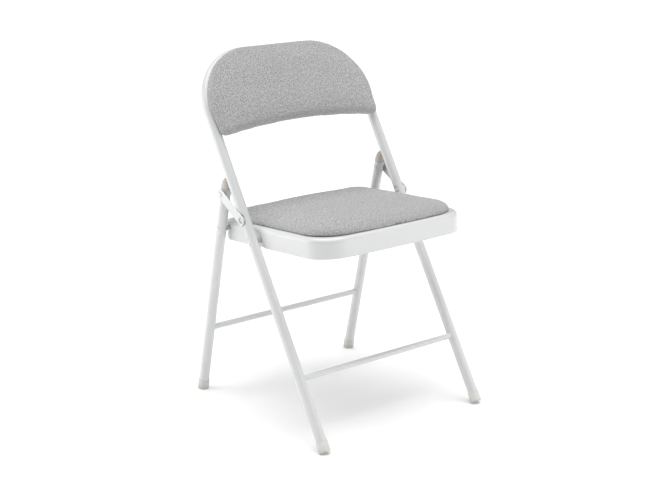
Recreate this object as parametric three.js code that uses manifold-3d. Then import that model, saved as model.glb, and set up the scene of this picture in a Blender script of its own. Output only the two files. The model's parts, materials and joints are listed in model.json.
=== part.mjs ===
// Padded steel folding chair, millimetres, +Z up, facing -Y.
// Left and right are the sitter's, so left is +X.
//
// A bent tube makes the front legs and the arch round the backrest. The seat turns on it, the rear legs
// turn on the seat, and a pair of straps ties the rear legs back to the front tube. When the front edge
// of the seat is lifted, all of it closes flat against the front tube.

import * as THREE from 'three';
import { mergeVertices } from 'three/addons/utils/BufferGeometryUtils.js';
import Module from 'manifold-3d';

const wasm = await Module();
wasm.setup();

// ---------------------------------------------------------------- driving dimensions

const DEG = Math.PI / 180;
const GAP = 0.3; // left between pieces that touch
const SIDES = [['left', 1], ['right', -1]];

// tubes
const TUBE_R = 11;
const TUBE_WALL = 1.2;
const TUBE_SIDES = 24;
const HALF_TRACK = 213; // centre plane to the axis of every leg

// front tube, measured along its own axis from the floor end
const FRONT_LEAN = 31.87 * DEG;
const FRONT_FOOT_Z = 6.3; // height of the axis at its floor end
const ARCH_TOP = 881;
const ARCH_R = 135;
const LINK_PIVOT = 507;
const SEAT_PIVOT = 457.76;
const FRONT_BAR = 154;

// rear legs, measured the same way
const REAR_LEAN = 13.02 * DEG;
const REAR_FOOT_Y = 451.4;
const REAR_FOOT_Z = 2.7;
const REAR_TUBE_END = 502;
const REAR_LINK_PIVOT = 489;
const REAR_SEAT_PIVOT = 405;
const REAR_BAR = 157;

const BAR_R = 6.35;
const BAR_WALL = 1;

// caps
const FOOT_R = 12.4;
const FOOT_HEIGHT = 24;
const FOOT_FLOOR = 4.3;
const FOOT_BELOW = 3; // how far the cap reaches past the floor end of the axis
const TOP_DOME = 20.5;

// pivots: every rivet head sits in a dimple pressed into the tube
const SHANK_R = 3;
const HOLE_R = 3.35;
const DIMPLE_R = 9.6;
const DIMPLE_FLOOR = 7; // from the tube's axis to the floor of a link dimple
const SMALL_DIMPLE_R = 7;
const SMALL_DIMPLE_FLOOR = 8.3;
const HEAD_R = 5.6;
const HEAD_HEIGHT = 2;

// link straps
const LINK_WIDTH = 22;
const LINK_THICK = 2;
const LINK_INNER = TUBE_R + 0.4; // from the leg's axis plane to the strap
const DISH_R = 8.8;

// seat pan, in the seat's own frame: its origin is the front pivot, y runs back, z runs up
const SEAT_TILT = 4.57 * DEG;
const PAN_HALF_WIDTH = 199;
const PAN_FRONT = -224.5;
const PAN_REAR = 139;
const PAN_BOTTOM = -14.2;
const PAN_TOP = 28.5;
const PAN_FRONT_R = 54;
const PAN_REAR_R = 26;
const PAN_BOW = 5; // how far the front edge bulges
const PAN_STEEL = 1.5;
const SHOULDER = 9.5;
const POCKET_DEPTH = 4;
const FRONT_POCKET = 10; // half widths, square to the tubes
const REAR_POCKET = 12;
const POCKET_TOP = PAN_TOP - 11;
const SPACER_R = 5.5; // bushes between the pan and the tubes

// seat padding
const SEAT_INSET = 6.5;
const SEAT_BOARD = 8;
const SEAT_BOARD_INSET = 16;
const CUSHION_TOP = 52;
const CUSHION_FRONT_R = 72;
const CUSHION_REAR_R = 60;

// backrest padding, across the front tube's plane: n runs back, so the front is negative
const BACK_HALF_WIDTH = 219;
const BACK_TOP = 886;
const BACK_LOW = 691; // at the lower corners
const BACK_ARCH = 15; // rise of the lower edge in the middle
const BACK_CORNER_R = 138;
const BACK_LOW_R = 14;
const BACK_SHUT = -11.3; // back face of the padding
const BACK_FRONT = -37;
const BACK_BOARD = 6;
const BACK_BOARD_INSET = 2.5;

// ---------------------------------------------------------------- finishes

const FINISHES = {
  white_steel: { color: 0xe9ebea, roughness: 0.3, metalness: 0 },
  zinc: { color: 0xb9bcbd, roughness: 0.4, metalness: 1 },
  foot_plastic: { color: 0xdfdfdc, roughness: 0.5, metalness: 0 },
  cap_plastic: { color: 0xd8cfc8, roughness: 0.55, metalness: 0 },
  spacer_plastic: { color: 0xdadada, roughness: 0.5, metalness: 0 },
  fabric: { color: 0xb3b3b3, roughness: 0.95, metalness: 0 },
  backing: { color: 0x9a9a9a, roughness: 1, metalness: 0 },
  board: { color: 0xb89468, roughness: 0.8, metalness: 0 },
};

function part(name, geometry, finish) {
  const mesh = new THREE.Mesh(geometry, new THREE.MeshStandardMaterial(FINISHES[finish]));
  mesh.name = name;
  return mesh;
}

// ---------------------------------------------------------------- joining and cutting

function solid(geometry) {
  const bare = geometry.clone();
  bare.deleteAttribute('normal');
  bare.deleteAttribute('uv');
  const merged = mergeVertices(bare, 1e-4);
  return new wasm.Manifold(new wasm.Mesh({
    numProp: 3,
    vertProperties: Float32Array.from(merged.attributes.position.array),
    triVerts: Uint32Array.from(merged.index.array),
  }));
}

function cut(base, tools) {
  let rest = solid(base);
  for (const tool of tools) {
    rest = rest.subtract(solid(tool));
  }
  return shape(rest);
}

function join(pieces) {
  let whole = solid(pieces[0]);
  for (const piece of pieces.slice(1)) {
    whole = whole.add(solid(piece));
  }
  return shape(whole);
}

function shape(manifold) {
  const mesh = manifold.getMesh();
  const geometry = new THREE.BufferGeometry();
  geometry.setAttribute('position', new THREE.BufferAttribute(mesh.vertProperties, 3));
  geometry.setIndex(new THREE.BufferAttribute(mesh.triVerts, 1));
  return geometry;
}

// ---------------------------------------------------------------- plain forms

function boxFrom(x0, x1, y0, y1, z0, z1) {
  const box = new THREE.BoxGeometry(x1 - x0, y1 - y0, z1 - z0);
  return box.translate((x0 + x1) / 2, (y0 + y1) / 2, (z0 + z1) / 2);
}

// a round bar along X from x0 to x1, its axis at (y, z)
function barX(radius, x0, x1, y, z, sides = 16) {
  const bar = new THREE.CylinderGeometry(radius, radius, Math.abs(x1 - x0), sides);
  return bar.rotateZ(Math.PI / 2).translate((x0 + x1) / 2, y, z);
}

// a round bar along Z from z0 to z1, its axis at (x, y)
function barZ(radius, z0, z1, x, y, sides = 16) {
  const bar = new THREE.CylinderGeometry(radius, radius, z1 - z0, sides);
  return bar.rotateX(Math.PI / 2).translate(x, y, (z0 + z1) / 2);
}

// a round bar along Y from y0 to y1, its axis at (x, z)
function barY(radius, y0, y1, x, z, sides = 12) {
  return new THREE.CylinderGeometry(radius, radius, y1 - y0, sides).translate(x, (y0 + y1) / 2, z);
}

// a turned piece on the Z axis from [radius, z] pairs that run from bottom to top
function turned(profile, sides) {
  const points = profile.map(([radius, z]) => new THREE.Vector2(radius, z));
  return new THREE.LatheGeometry(points, sides).rotateX(Math.PI / 2);
}

// the same, turned on to the X axis so that its profile runs outwards on the given side
function turnedX(profile, sign, y, z, sides = 16) {
  return turned(profile, sides).rotateY(sign * Math.PI / 2).translate(0, y, z);
}

// ---------------------------------------------------------------- points that the linkage is drawn from

function onFrontTube(s) {
  return new THREE.Vector2(s * Math.sin(FRONT_LEAN), FRONT_FOOT_Z + s * Math.cos(FRONT_LEAN));
}

function onRearLeg(s) {
  return new THREE.Vector2(REAR_FOOT_Y - s * Math.sin(REAR_LEAN), REAR_FOOT_Z + s * Math.cos(REAR_LEAN));
}

const seatPivot = onFrontTube(SEAT_PIVOT);
const linkPivot = onFrontTube(LINK_PIVOT);
const linkEnd = onRearLeg(REAR_LINK_PIVOT);
const legPivotInSeat = onRearLeg(REAR_SEAT_PIVOT).sub(seatPivot)
  .rotateAround(new THREE.Vector2(0, 0), SEAT_TILT);

// ---------------------------------------------------------------- front frame: local z along the tube, y back

// One step along each straight, and even steps round the two bends.
class FramePath extends THREE.Curve {
  constructor(start, bendSteps) {
    super();
    this.start = start;
    this.bendSteps = bendSteps;
    this.steps = 2 * bendSteps + 3;
  }

  getUtoTmapping(u) {
    return u;
  }

  getPoint(t, target = new THREE.Vector3()) {
    const step = t * this.steps;
    const half = this.steps / 2;
    const mirrored = step > half;
    const along = mirrored ? this.steps - step : step;
    const bendStart = ARCH_TOP - ARCH_R;
    const straight = HALF_TRACK - ARCH_R;
    let x = HALF_TRACK;
    let z = this.start + (bendStart - this.start) * Math.min(along, 1);
    if (along > 1) {
      const turn = Math.min((along - 1) / this.bendSteps, 1) * Math.PI / 2;
      x = straight + ARCH_R * Math.cos(turn);
      z = bendStart + ARCH_R * Math.sin(turn);
    }
    if (along > 1 + this.bendSteps) {
      x = straight * (1 - (along - 1 - this.bendSteps) * 2);
    }
    return target.set(mirrored ? -x : x, 0, z);
  }
}

function circle(radius, sides) {
  const outline = new THREE.Shape();
  for (let i = 0; i < sides; i += 1) {
    const angle = 2 * Math.PI * i / sides;
    outline[i ? 'lineTo' : 'moveTo'](radius * Math.cos(angle), radius * Math.sin(angle));
  }
  return outline;
}

function bentBar(radius, start) {
  const path = new FramePath(start, 10);
  return new THREE.ExtrudeGeometry(circle(radius, TUBE_SIDES), { steps: path.steps, extrudePath: path });
}

// the hole and the two dimples that a rivet needs in a tube whose axis is at x = side * HALF_TRACK
function pivotTools(side, z, dimpleR, dimpleFloor) {
  const axis = side * HALF_TRACK;
  return [
    barX(HOLE_R, axis - 20, axis + 20, 0, z),
    barX(dimpleR, axis + side * dimpleFloor, axis + side * 20, 0, z, 20),
    barX(HEAD_R + 0.6, axis - side * SMALL_DIMPLE_FLOOR, axis - side * 20, 0, z),
  ];
}

// a little inside the tube's axis, so that they bite well inside the edge of the board
const backScrews = [
  [HALF_TRACK - 2, 750], [2 - HALF_TRACK, 750], [72, ARCH_TOP - 2], [-72, ARCH_TOP - 2],
];

function frontTube() {
  const tools = [bentBar(TUBE_R - TUBE_WALL, FOOT_FLOOR - FOOT_BELOW - 5)];
  for (const [, side] of SIDES) {
    tools.push(...pivotTools(side, LINK_PIVOT, DIMPLE_R, DIMPLE_FLOOR));
    tools.push(...pivotTools(side, SEAT_PIVOT, SMALL_DIMPLE_R, SMALL_DIMPLE_FLOOR));
  }
  for (const [x, z] of backScrews) {
    tools.push(barY(2.2, -20, 20, x, z));
  }
  return cut(bentBar(TUBE_R, FOOT_FLOOR - FOOT_BELOW + GAP), tools);
}

function crossbar(z) {
  const reach = HALF_TRACK - 4;
  const tools = [barX(BAR_R - BAR_WALL, -HALF_TRACK, HALF_TRACK, 0, z)];
  for (const [, side] of SIDES) {
    tools.push(barZ(TUBE_R + GAP, z - 40, z + 40, side * HALF_TRACK, 0, TUBE_SIDES));
  }
  return cut(barX(BAR_R, -reach, reach, 0, z, 20), tools);
}

// a moulded cup over the end of a leg, worn flat where it stands on the floor
function footCap(side, lean, axisHeight) {
  const bore = TUBE_R + GAP;
  const floor = FOOT_FLOOR - FOOT_BELOW;
  const cup = turned([
    [0, -FOOT_BELOW], [FOOT_R - 2, -FOOT_BELOW], [FOOT_R - 0.6, -FOOT_BELOW + 0.6],
    [FOOT_R, -FOOT_BELOW + 2], [FOOT_R, FOOT_HEIGHT - FOOT_BELOW - 1],
    [FOOT_R - 0.4, FOOT_HEIGHT - FOOT_BELOW], [bore, FOOT_HEIGHT - FOOT_BELOW], [bore, floor], [0, floor],
  ], TUBE_SIDES);
  const ground = boxFrom(-30, 30, -60, 60, -60, 0);
  ground.translate(0, 0, -axisHeight).rotateX(lean);
  return cut(cup, [ground]).translate(side * HALF_TRACK, 0, 0);
}

// outline of the backrest padding in the plane of the arch, drawn as (x, along the tube)
function backOutline(inset) {
  const half = BACK_HALF_WIDTH - inset;
  const top = BACK_TOP - inset;
  const low = BACK_LOW + inset;
  const bigR = BACK_CORNER_R - inset;
  const lowR = BACK_LOW_R;
  const taper = 5; // the sides draw in a little towards the lower corners
  const outline = new THREE.Shape();
  outline.moveTo(half - taper - lowR, low);
  outline.quadraticCurveTo(half - taper, low, half - taper + 1, low + lowR);
  outline.lineTo(half, top - bigR);
  outline.absarc(half - bigR, top - bigR, bigR, 0, Math.PI / 2);
  outline.lineTo(bigR - half, top);
  outline.absarc(bigR - half, top - bigR, bigR, Math.PI / 2, Math.PI);
  outline.lineTo(taper - half - 1, low + lowR);
  outline.quadraticCurveTo(taper - half, low, taper - half + lowR, low);
  outline.quadraticCurveTo(0, low + 2 * BACK_ARCH, half - taper - lowR, low);
  return outline;
}

// an outline pushed from n = back to n = front across the frame's plane
function backPlate(inset, front, back) {
  const plate = new THREE.ExtrudeGeometry(backOutline(inset), {
    depth: back - front, bevelEnabled: false, curveSegments: 10,
  });
  return plate.rotateX(Math.PI / 2).translate(0, back, 0);
}

function backrestCushion() {
  const bevel = 9;
  const pad = new THREE.ExtrudeGeometry(backOutline(bevel), {
    depth: BACK_SHUT - BACK_FRONT - bevel,
    bevelThickness: bevel,
    bevelSize: bevel,
    bevelSegments: 3,
    curveSegments: 10,
  });
  pad.rotateX(Math.PI / 2).translate(0, BACK_SHUT, 0);
  const behind = boxFrom(-300, 300, BACK_SHUT, 40, 500, 1000);
  const boardRoom = backPlate(BACK_BOARD_INSET - GAP, BACK_SHUT - BACK_BOARD - GAP, 20);
  return cut(pad, [behind, boardRoom]);
}

function backrestBoard() {
  const board = backPlate(BACK_BOARD_INSET, BACK_SHUT - BACK_BOARD, BACK_SHUT);
  return cut(board, backScrews.map(([x, z]) => barY(2.1, BACK_SHUT - 5, 20, x, z)));
}

function backrestDustCover() {
  return backPlate(BACK_BOARD_INSET + 28, BACK_SHUT + GAP, BACK_SHUT + GAP + 1);
}

function backrestScrew(x, z) {
  const tip = BACK_SHUT - 4.7;
  const seat = TUBE_R + GAP;
  const screw = turned([
    [0, tip], [1.8, tip], [1.8, seat], [4.6, seat], [4.6, seat + 1.4], [3.2, seat + 2.6], [0, seat + 2.8],
  ], 14);
  return screw.rotateX(-Math.PI / 2).translate(x, 0, z);
}

// rivet through a link, its dish and the front tube
function linkRivet(side) {
  const head = HALF_TRACK + DIMPLE_FLOOR + 2.6;
  const tail = HALF_TRACK - SMALL_DIMPLE_FLOOR - GAP;
  return turnedX([
    [0, tail - 1.8], [3.6, tail - 1.8], [4.8, tail - 0.9], [4.8, tail], [SHANK_R, tail], [SHANK_R, head],
    [HEAD_R, head], [HEAD_R, head + 0.8], [3.6, head + HEAD_HEIGHT - 0.2], [0, head + HEAD_HEIGHT],
  ], side, 0, LINK_PIVOT);
}

// rivet through a tube, a spacer and the wall of the seat pan
function panRivet(side, z) {
  const head = HALF_TRACK + SMALL_DIMPLE_FLOOR + GAP;
  const tail = PAN_HALF_WIDTH - POCKET_DEPTH - PAN_STEEL - GAP;
  return turnedX([
    [0, tail - 2], [3.6, tail - 2], [5, tail - 1], [5, tail], [SHANK_R, tail], [SHANK_R, head],
    [HEAD_R, head], [HEAD_R, head + 0.8], [3.6, head + HEAD_HEIGHT - 0.2], [0, head + HEAD_HEIGHT],
  ], side, 0, z);
}

function buildFrontFrame() {
  const frame = new THREE.Group();
  frame.position.z = FRONT_FOOT_Z;
  frame.rotation.x = -FRONT_LEAN;
  frame.add(part('front_tube', frontTube(), 'white_steel'));
  frame.add(part('front_crossbar', crossbar(FRONT_BAR), 'white_steel'));
  frame.add(part('backrest_board', backrestBoard(), 'board'));
  frame.add(part('backrest_cushion', backrestCushion(), 'fabric'));
  frame.add(part('backrest_dust_cover', backrestDustCover(), 'backing'));
  backScrews.forEach(([x, z], i) => {
    frame.add(part(`backrest_screw_${i + 1}`, backrestScrew(x, z), 'zinc'));
  });
  for (const [name, side] of SIDES) {
    frame.add(part(`front_foot_cap_${name}`, footCap(side, FRONT_LEAN, FRONT_FOOT_Z), 'foot_plastic'));
    frame.add(part(`link_rivet_${name}`, linkRivet(side), 'white_steel'));
    frame.add(part(`seat_rivet_${name}`, panRivet(side, SEAT_PIVOT), 'white_steel'));
  }
  return frame;
}

// ---------------------------------------------------------------- seat, local origin at its front pivot

// plan of the pan: bowed front edge, wide round front corners, tighter rear ones
function panOutline(inset, frontCorner = PAN_FRONT_R, rearCorner = PAN_REAR_R) {
  const half = PAN_HALF_WIDTH - inset;
  const front = PAN_FRONT + inset;
  const rear = PAN_REAR - inset;
  const frontR = frontCorner - inset;
  const rearR = Math.max(rearCorner - inset, 4);
  const outline = new THREE.Shape();
  outline.moveTo(half, front + PAN_BOW + frontR);
  outline.lineTo(half, rear - rearR);
  outline.absarc(half - rearR, rear - rearR, rearR, 0, Math.PI / 2);
  outline.lineTo(rearR - half, rear);
  outline.absarc(rearR - half, rear - rearR, rearR, Math.PI / 2, Math.PI);
  outline.lineTo(-half, front + PAN_BOW + frontR);
  outline.absarc(frontR - half, front + PAN_BOW + frontR, frontR, Math.PI, Math.PI * 1.47);
  outline.quadraticCurveTo(0, front - PAN_BOW, half - frontR * 0.906, front + PAN_BOW + frontR * 0.0045);
  outline.absarc(half - frontR, front + PAN_BOW + frontR, frontR, Math.PI * 1.53, Math.PI * 2);
  return outline;
}

// a solid block of the pan's plan with a rounded top edge, from far below to z = top
function panBlock(inset, top, shoulder) {
  const block = new THREE.ExtrudeGeometry(panOutline(inset + shoulder), {
    depth: 80,
    bevelThickness: shoulder,
    bevelSize: shoulder,
    bevelSegments: 3,
    curveSegments: 10,
  });
  return block.translate(0, 0, top - shoulder - 80);
}

// the slot-shaped pocket that a tube lies in, along the tube's own slope
function pocketTool(side, y, z, slope, halfWidth, depth, top) {
  const slab = boxFrom(PAN_HALF_WIDTH - depth, PAN_HALF_WIDTH + 20, -halfWidth, halfWidth, -90, 90);
  slab.rotateX(slope).translate(0, y, z);
  const above = boxFrom(0, 400, -400, 400, top, 200);
  const pocket = cut(slab, [above]);
  return side > 0 ? pocket : pocket.rotateZ(Math.PI).scale(1, -1, 1);
}

function mirrorX(geometry) {
  const flipped = geometry.clone().scale(-1, 1, 1);
  const index = flipped.index.array;
  for (let i = 0; i < index.length; i += 3) {
    [index[i], index[i + 1]] = [index[i + 1], index[i]];
  }
  return flipped;
}

function pocketTools(growth) {
  const depth = POCKET_DEPTH + growth;
  const top = POCKET_TOP + growth;
  const frontSlope = SEAT_TILT - FRONT_LEAN;
  const rearSlope = SEAT_TILT + REAR_LEAN;
  const pockets = [
    pocketTool(1, 0, 0, frontSlope, FRONT_POCKET + growth, depth, top),
    pocketTool(1, legPivotInSeat.x, legPivotInSeat.y, rearSlope, REAR_POCKET + growth, depth, top),
  ];
  return [...pockets, ...pockets.map(mirrorX)];
}

const seatScrews = [[130, -150], [-130, -150], [130, 80], [-130, 80]];

function seatPan() {
  const hollow = cut(panBlock(PAN_STEEL, PAN_TOP - PAN_STEEL, SHOULDER - PAN_STEEL), pocketTools(PAN_STEEL));
  const tools = [boxFrom(-400, 400, -400, 400, -200, PAN_BOTTOM), hollow, ...pocketTools(0)];
  tools.push(barX(HOLE_R, -300, 300, 0, 0));
  tools.push(barX(HOLE_R, -300, 300, legPivotInSeat.x, legPivotInSeat.y));
  for (const [x, y] of seatScrews) {
    tools.push(barZ(2.3, 0, 60, x, y, 12));
  }
  return cut(panBlock(0, PAN_TOP, SHOULDER), tools);
}

// a hat channel across the underside of the pan
function seatStiffener() {
  const steel = 1.2;
  const height = 13;
  const top = PAN_TOP - PAN_STEEL - GAP;
  const half = 14;
  const flange = 10;
  const section = new THREE.Shape();
  section.moveTo(-half - flange, 0);
  section.lineTo(-half - steel, 0);
  section.lineTo(-half, -height);
  section.lineTo(half, -height);
  section.lineTo(half + steel, 0);
  section.lineTo(half + flange, 0);
  section.lineTo(half + flange, -steel);
  section.lineTo(half + 2 * steel, -steel);
  section.lineTo(half + steel, -height - steel);
  section.lineTo(-half - steel, -height - steel);
  section.lineTo(-half - 2 * steel, -steel);
  section.lineTo(-half - flange, -steel);
  section.closePath();
  const length = 2 * (PAN_HALF_WIDTH - 20);
  const bar = new THREE.ExtrudeGeometry(section, { depth: length, bevelEnabled: false });
  return bar.rotateX(Math.PI / 2).rotateZ(Math.PI / 2).translate(-length / 2, -30, top);
}

// the padding and its board follow the pan's plan, with rounder corners
function cushionOutline(inset) {
  return panOutline(inset, CUSHION_FRONT_R, CUSHION_REAR_R);
}

function seatBoard() {
  const low = PAN_TOP + GAP;
  const board = new THREE.ExtrudeGeometry(cushionOutline(SEAT_BOARD_INSET), {
    depth: SEAT_BOARD, bevelEnabled: false, curveSegments: 8,
  });
  board.translate(0, 0, low);
  return cut(board, seatScrews.map(([x, y]) => barZ(2.2, 0, low + 6, x, y, 12)));
}

function seatCushion() {
  const low = PAN_TOP + GAP;
  const bevel = 9;
  const pad = new THREE.ExtrudeGeometry(cushionOutline(SEAT_INSET + bevel), {
    depth: CUSHION_TOP - low - bevel,
    bevelThickness: bevel,
    bevelSize: bevel,
    bevelSegments: 3,
    curveSegments: 8,
  });
  pad.translate(0, 0, low);
  const below = boxFrom(-400, 400, -400, 400, -50, low);
  const boardRoom = new THREE.ExtrudeGeometry(cushionOutline(SEAT_BOARD_INSET - GAP), {
    depth: 20 + SEAT_BOARD + GAP, bevelEnabled: false, curveSegments: 8,
  });
  boardRoom.translate(0, 0, low - 20);
  return cut(pad, [below, boardRoom]);
}

function seatScrew(x, y) {
  const seat = PAN_TOP - PAN_STEEL - GAP;
  const screw = turned([
    [0, seat - 2.8], [3.2, seat - 2.6], [4.4, seat - 1.4], [4.4, seat],
    [1.9, seat], [1.9, PAN_TOP + 6], [0, PAN_TOP + 6],
  ], 14);
  return screw.translate(x, y, 0);
}

// a bush between the wall of the pan and a tube
function spacer(side, y, z) {
  const inner = PAN_HALF_WIDTH - POCKET_DEPTH + GAP;
  const outer = HALF_TRACK - TUBE_R - GAP;
  const ring = barX(SPACER_R, side * inner, side * outer, y, z, 20);
  return cut(ring, [barX(HOLE_R, -300, 300, y, z)]);
}

function buildSeat() {
  const seat = new THREE.Group();
  seat.position.set(0, seatPivot.x, seatPivot.y);
  seat.rotation.x = -SEAT_TILT;
  seat.add(part('seat_pan', seatPan(), 'white_steel'));
  seat.add(part('seat_stiffener', seatStiffener(), 'white_steel'));
  seat.add(part('seat_board', seatBoard(), 'board'));
  seat.add(part('seat_cushion', seatCushion(), 'fabric'));
  seatScrews.forEach(([x, y], i) => {
    seat.add(part(`seat_screw_${i + 1}`, seatScrew(x, y), 'zinc'));
  });
  for (const [name, side] of SIDES) {
    seat.add(part(`front_spacer_${name}`, spacer(side, 0, 0), 'spacer_plastic'));
    const rear = spacer(side, legPivotInSeat.x, legPivotInSeat.y);
    seat.add(part(`rear_spacer_${name}`, rear, 'spacer_plastic'));
  }
  return seat;
}

// ---------------------------------------------------------------- rear legs, local z along the leg

function rearLeg(side) {
  const axis = side * HALF_TRACK;
  const start = FOOT_FLOOR - FOOT_BELOW + GAP;
  const bore = barZ(TUBE_R - TUBE_WALL, start - 10, REAR_TUBE_END + 10, axis, 0, TUBE_SIDES);
  const tools = [bore, ...pivotTools(side, REAR_SEAT_PIVOT, SMALL_DIMPLE_R, SMALL_DIMPLE_FLOOR)];
  tools.push(barX(HOLE_R, axis - 20, axis + 20, 0, REAR_LINK_PIVOT));
  return cut(barZ(TUBE_R, start, REAR_TUBE_END, axis, 0, TUBE_SIDES), tools);
}

// a domed plug in the top of a rear leg, which also rests against the front tube
function topCap(side) {
  const base = REAR_TUBE_END + GAP;
  const plug = TUBE_R - TUBE_WALL - GAP;
  const dome = [[0, base - 6], [plug, base - 6], [plug, base], [TUBE_R, base]];
  const centre = base + 3.7;
  for (let i = 0; i < 8; i += 1) {
    const angle = i / 8 * Math.PI / 2;
    dome.push([TUBE_R * Math.cos(angle), centre + TOP_DOME * Math.sin(angle)]);
  }
  dome.push([0, centre + TOP_DOME]);
  return turned(dome, TUBE_SIDES).translate(side * HALF_TRACK, 0, 0);
}

// inner half of the pivot between a link and the rear leg; the strap carries the outer half
function linkStub(side) {
  const tail = HALF_TRACK - TUBE_R - GAP;
  return turnedX([
    [0, tail - 1.6], [3.4, tail - 1.6], [5, tail - 0.8], [5, tail], [SHANK_R, tail],
    [SHANK_R, HALF_TRACK + TUBE_R - 0.2], [0, HALF_TRACK + TUBE_R - 0.2],
  ], side, 0, REAR_LINK_PIVOT);
}

function buildRearLegs() {
  const legs = new THREE.Group();
  legs.position.set(0, REAR_FOOT_Y, REAR_FOOT_Z);
  legs.rotation.x = REAR_LEAN;
  legs.add(part('rear_crossbar', crossbar(REAR_BAR), 'white_steel'));
  for (const [name, side] of SIDES) {
    legs.add(part(`rear_leg_${name}`, rearLeg(side), 'white_steel'));
    legs.add(part(`rear_foot_cap_${name}`, footCap(side, -REAR_LEAN, REAR_FOOT_Z), 'foot_plastic'));
    legs.add(part(`rear_top_cap_${name}`, topCap(side), 'cap_plastic'));
    legs.add(part(`leg_rivet_${name}`, panRivet(side, REAR_SEAT_PIVOT), 'white_steel'));
    legs.add(part(`link_stub_${name}`, linkStub(side), 'white_steel'));
  }
  return legs;
}

// ---------------------------------------------------------------- links: local y from front pivot to rear

const linkLength = linkEnd.distanceTo(linkPivot);

function link(side) {
  const x0 = HALF_TRACK + LINK_INNER;
  const x1 = x0 + LINK_THICK;
  const strap = boxFrom(x0, x1, 0, linkLength, -LINK_WIDTH / 2, LINK_WIDTH / 2);
  const dish = barX(DISH_R, HALF_TRACK + DIMPLE_FLOOR + GAP, x1, 0, 0, 20);
  const plate = join([
    strap,
    barX(LINK_WIDTH / 2, x0, x1, 0, 0, 24),
    barX(LINK_WIDTH / 2, x0, x1, linkLength, 0, 24),
    dish,
  ]);
  const made = cut(plate, [
    barX(HEAD_R + 0.8, HALF_TRACK + DIMPLE_FLOOR + 2.3, x1 + 5, 0, 0, 20),
    barX(HOLE_R, 0, x1 + 5, 0, 0),
    barX(HOLE_R, 0, x1 + 5, linkLength, 0),
  ]);
  return side > 0 ? made : mirrorX(made);
}

function linkButton(side) {
  const x0 = HALF_TRACK + LINK_INNER;
  const head = x0 + LINK_THICK + GAP;
  return turnedX([
    [0, x0], [SHANK_R, x0], [SHANK_R, head], [HEAD_R, head], [HEAD_R, head + 0.7],
    [3.6, head + HEAD_HEIGHT - 0.3], [0, head + HEAD_HEIGHT],
  ], side, linkLength, 0);
}

function buildLinks() {
  const links = new THREE.Group();
  links.position.set(0, linkPivot.x, linkPivot.y);
  links.rotation.x = linkEnd.clone().sub(linkPivot).angle();
  for (const [name, side] of SIDES) {
    links.add(part(`link_${name}`, link(side), 'white_steel'));
    links.add(part(`link_button_${name}`, linkButton(side), 'white_steel'));
  }
  return links;
}

// ---------------------------------------------------------------- the chair, centred over its footprint

const group = new THREE.Group();
group.add(buildFrontFrame(), buildSeat(), buildRearLegs(), buildLinks());
group.updateMatrixWorld(true);
const bounds = new THREE.Box3().setFromObject(group, true);
group.position.set(0, -(bounds.min.y + bounds.max.y) / 2, -bounds.min.z);

export default group;
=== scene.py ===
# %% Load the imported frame
import json
import math

import bmesh
import bpy
import numpy as np
from mathutils import Matrix, Vector


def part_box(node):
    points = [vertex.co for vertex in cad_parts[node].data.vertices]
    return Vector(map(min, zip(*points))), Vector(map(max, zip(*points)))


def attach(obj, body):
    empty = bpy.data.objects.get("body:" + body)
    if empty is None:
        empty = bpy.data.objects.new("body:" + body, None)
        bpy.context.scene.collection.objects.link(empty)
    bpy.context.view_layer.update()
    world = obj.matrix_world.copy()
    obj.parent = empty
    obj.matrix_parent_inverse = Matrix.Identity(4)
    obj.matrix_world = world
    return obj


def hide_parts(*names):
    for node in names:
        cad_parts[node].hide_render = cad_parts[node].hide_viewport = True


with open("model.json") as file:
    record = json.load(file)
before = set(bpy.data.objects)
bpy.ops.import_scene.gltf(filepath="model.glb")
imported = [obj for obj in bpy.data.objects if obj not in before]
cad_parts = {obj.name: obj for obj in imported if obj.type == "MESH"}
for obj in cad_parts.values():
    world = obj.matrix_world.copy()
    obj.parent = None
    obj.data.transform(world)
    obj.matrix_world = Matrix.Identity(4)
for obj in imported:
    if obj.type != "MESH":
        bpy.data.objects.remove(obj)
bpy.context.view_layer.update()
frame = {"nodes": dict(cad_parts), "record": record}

# %% [markdown]
# A padded folding chair has four moving parts: the front tube with the backrest, the seat, the rear legs
# and a pair of straps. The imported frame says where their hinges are. Every piece below is drawn in the
# plain coordinates of its own part, such as "along the tube" and "out from its axis", and is then put in
# its place by one matrix. That keeps the numbers readable and the finished objects at the origin.

# %% Hinges and the four sets of axes
MM = 0.001
SIDES = {"left": 1, "right": -1}
TUBE_R = 11 * MM
HALF_TRACK = 213 * MM
FRONT_LEAN = math.radians(31.87)
REAR_LEAN = math.radians(13.02)
SEAT_TILT = math.radians(4.57)
SEAT_PIVOT = 457.76 * MM  # along the front tube from its floor end
LINK_PIVOT = 507 * MM
REAR_SEAT_PIVOT = 405 * MM  # along the rear leg
REAR_LINK_PIVOT = 489 * MM

hinge = {j["name"]: Vector(j["pos_m"]) for j in frame["record"]["behaviour"]["joints"]}


def middle(node):
    low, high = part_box(node)
    return (Vector(low) + Vector(high)) / 2


def axes(origin, turn, slide=0.0):
    """Places a part that is drawn with its origin at the hinge and z along it, slid down by a distance."""
    return Matrix.Translation(origin) @ Matrix.Rotation(turn, 4, "X") @ Matrix.Translation((0, 0, -slide))


FRONT = axes(hinge["seat_fold"], -FRONT_LEAN, SEAT_PIVOT)
REAR = axes(hinge["rear_leg_fold"], REAR_LEAN, REAR_SEAT_PIVOT)
SEAT = axes(hinge["seat_fold"], -SEAT_TILT)
strap_end = middle("link_stub_left") - hinge["link_fold_left"]
STRAP_LENGTH = math.hypot(strap_end.y, strap_end.z)
LINK = axes(hinge["link_fold_left"], math.atan2(strap_end.z, strap_end.y))
leg_in_seat = SEAT.inverted() @ hinge["rear_leg_fold"]
print("strap between pivots", round(STRAP_LENGTH / MM, 2), "mm")
print("leg pivot in the seat's axes", leg_in_seat / MM)

# %% [markdown]
# The camera stands to the chair's right and looks down a little, from about three metres, with a lens
# long enough that the legs hardly converge.

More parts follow.
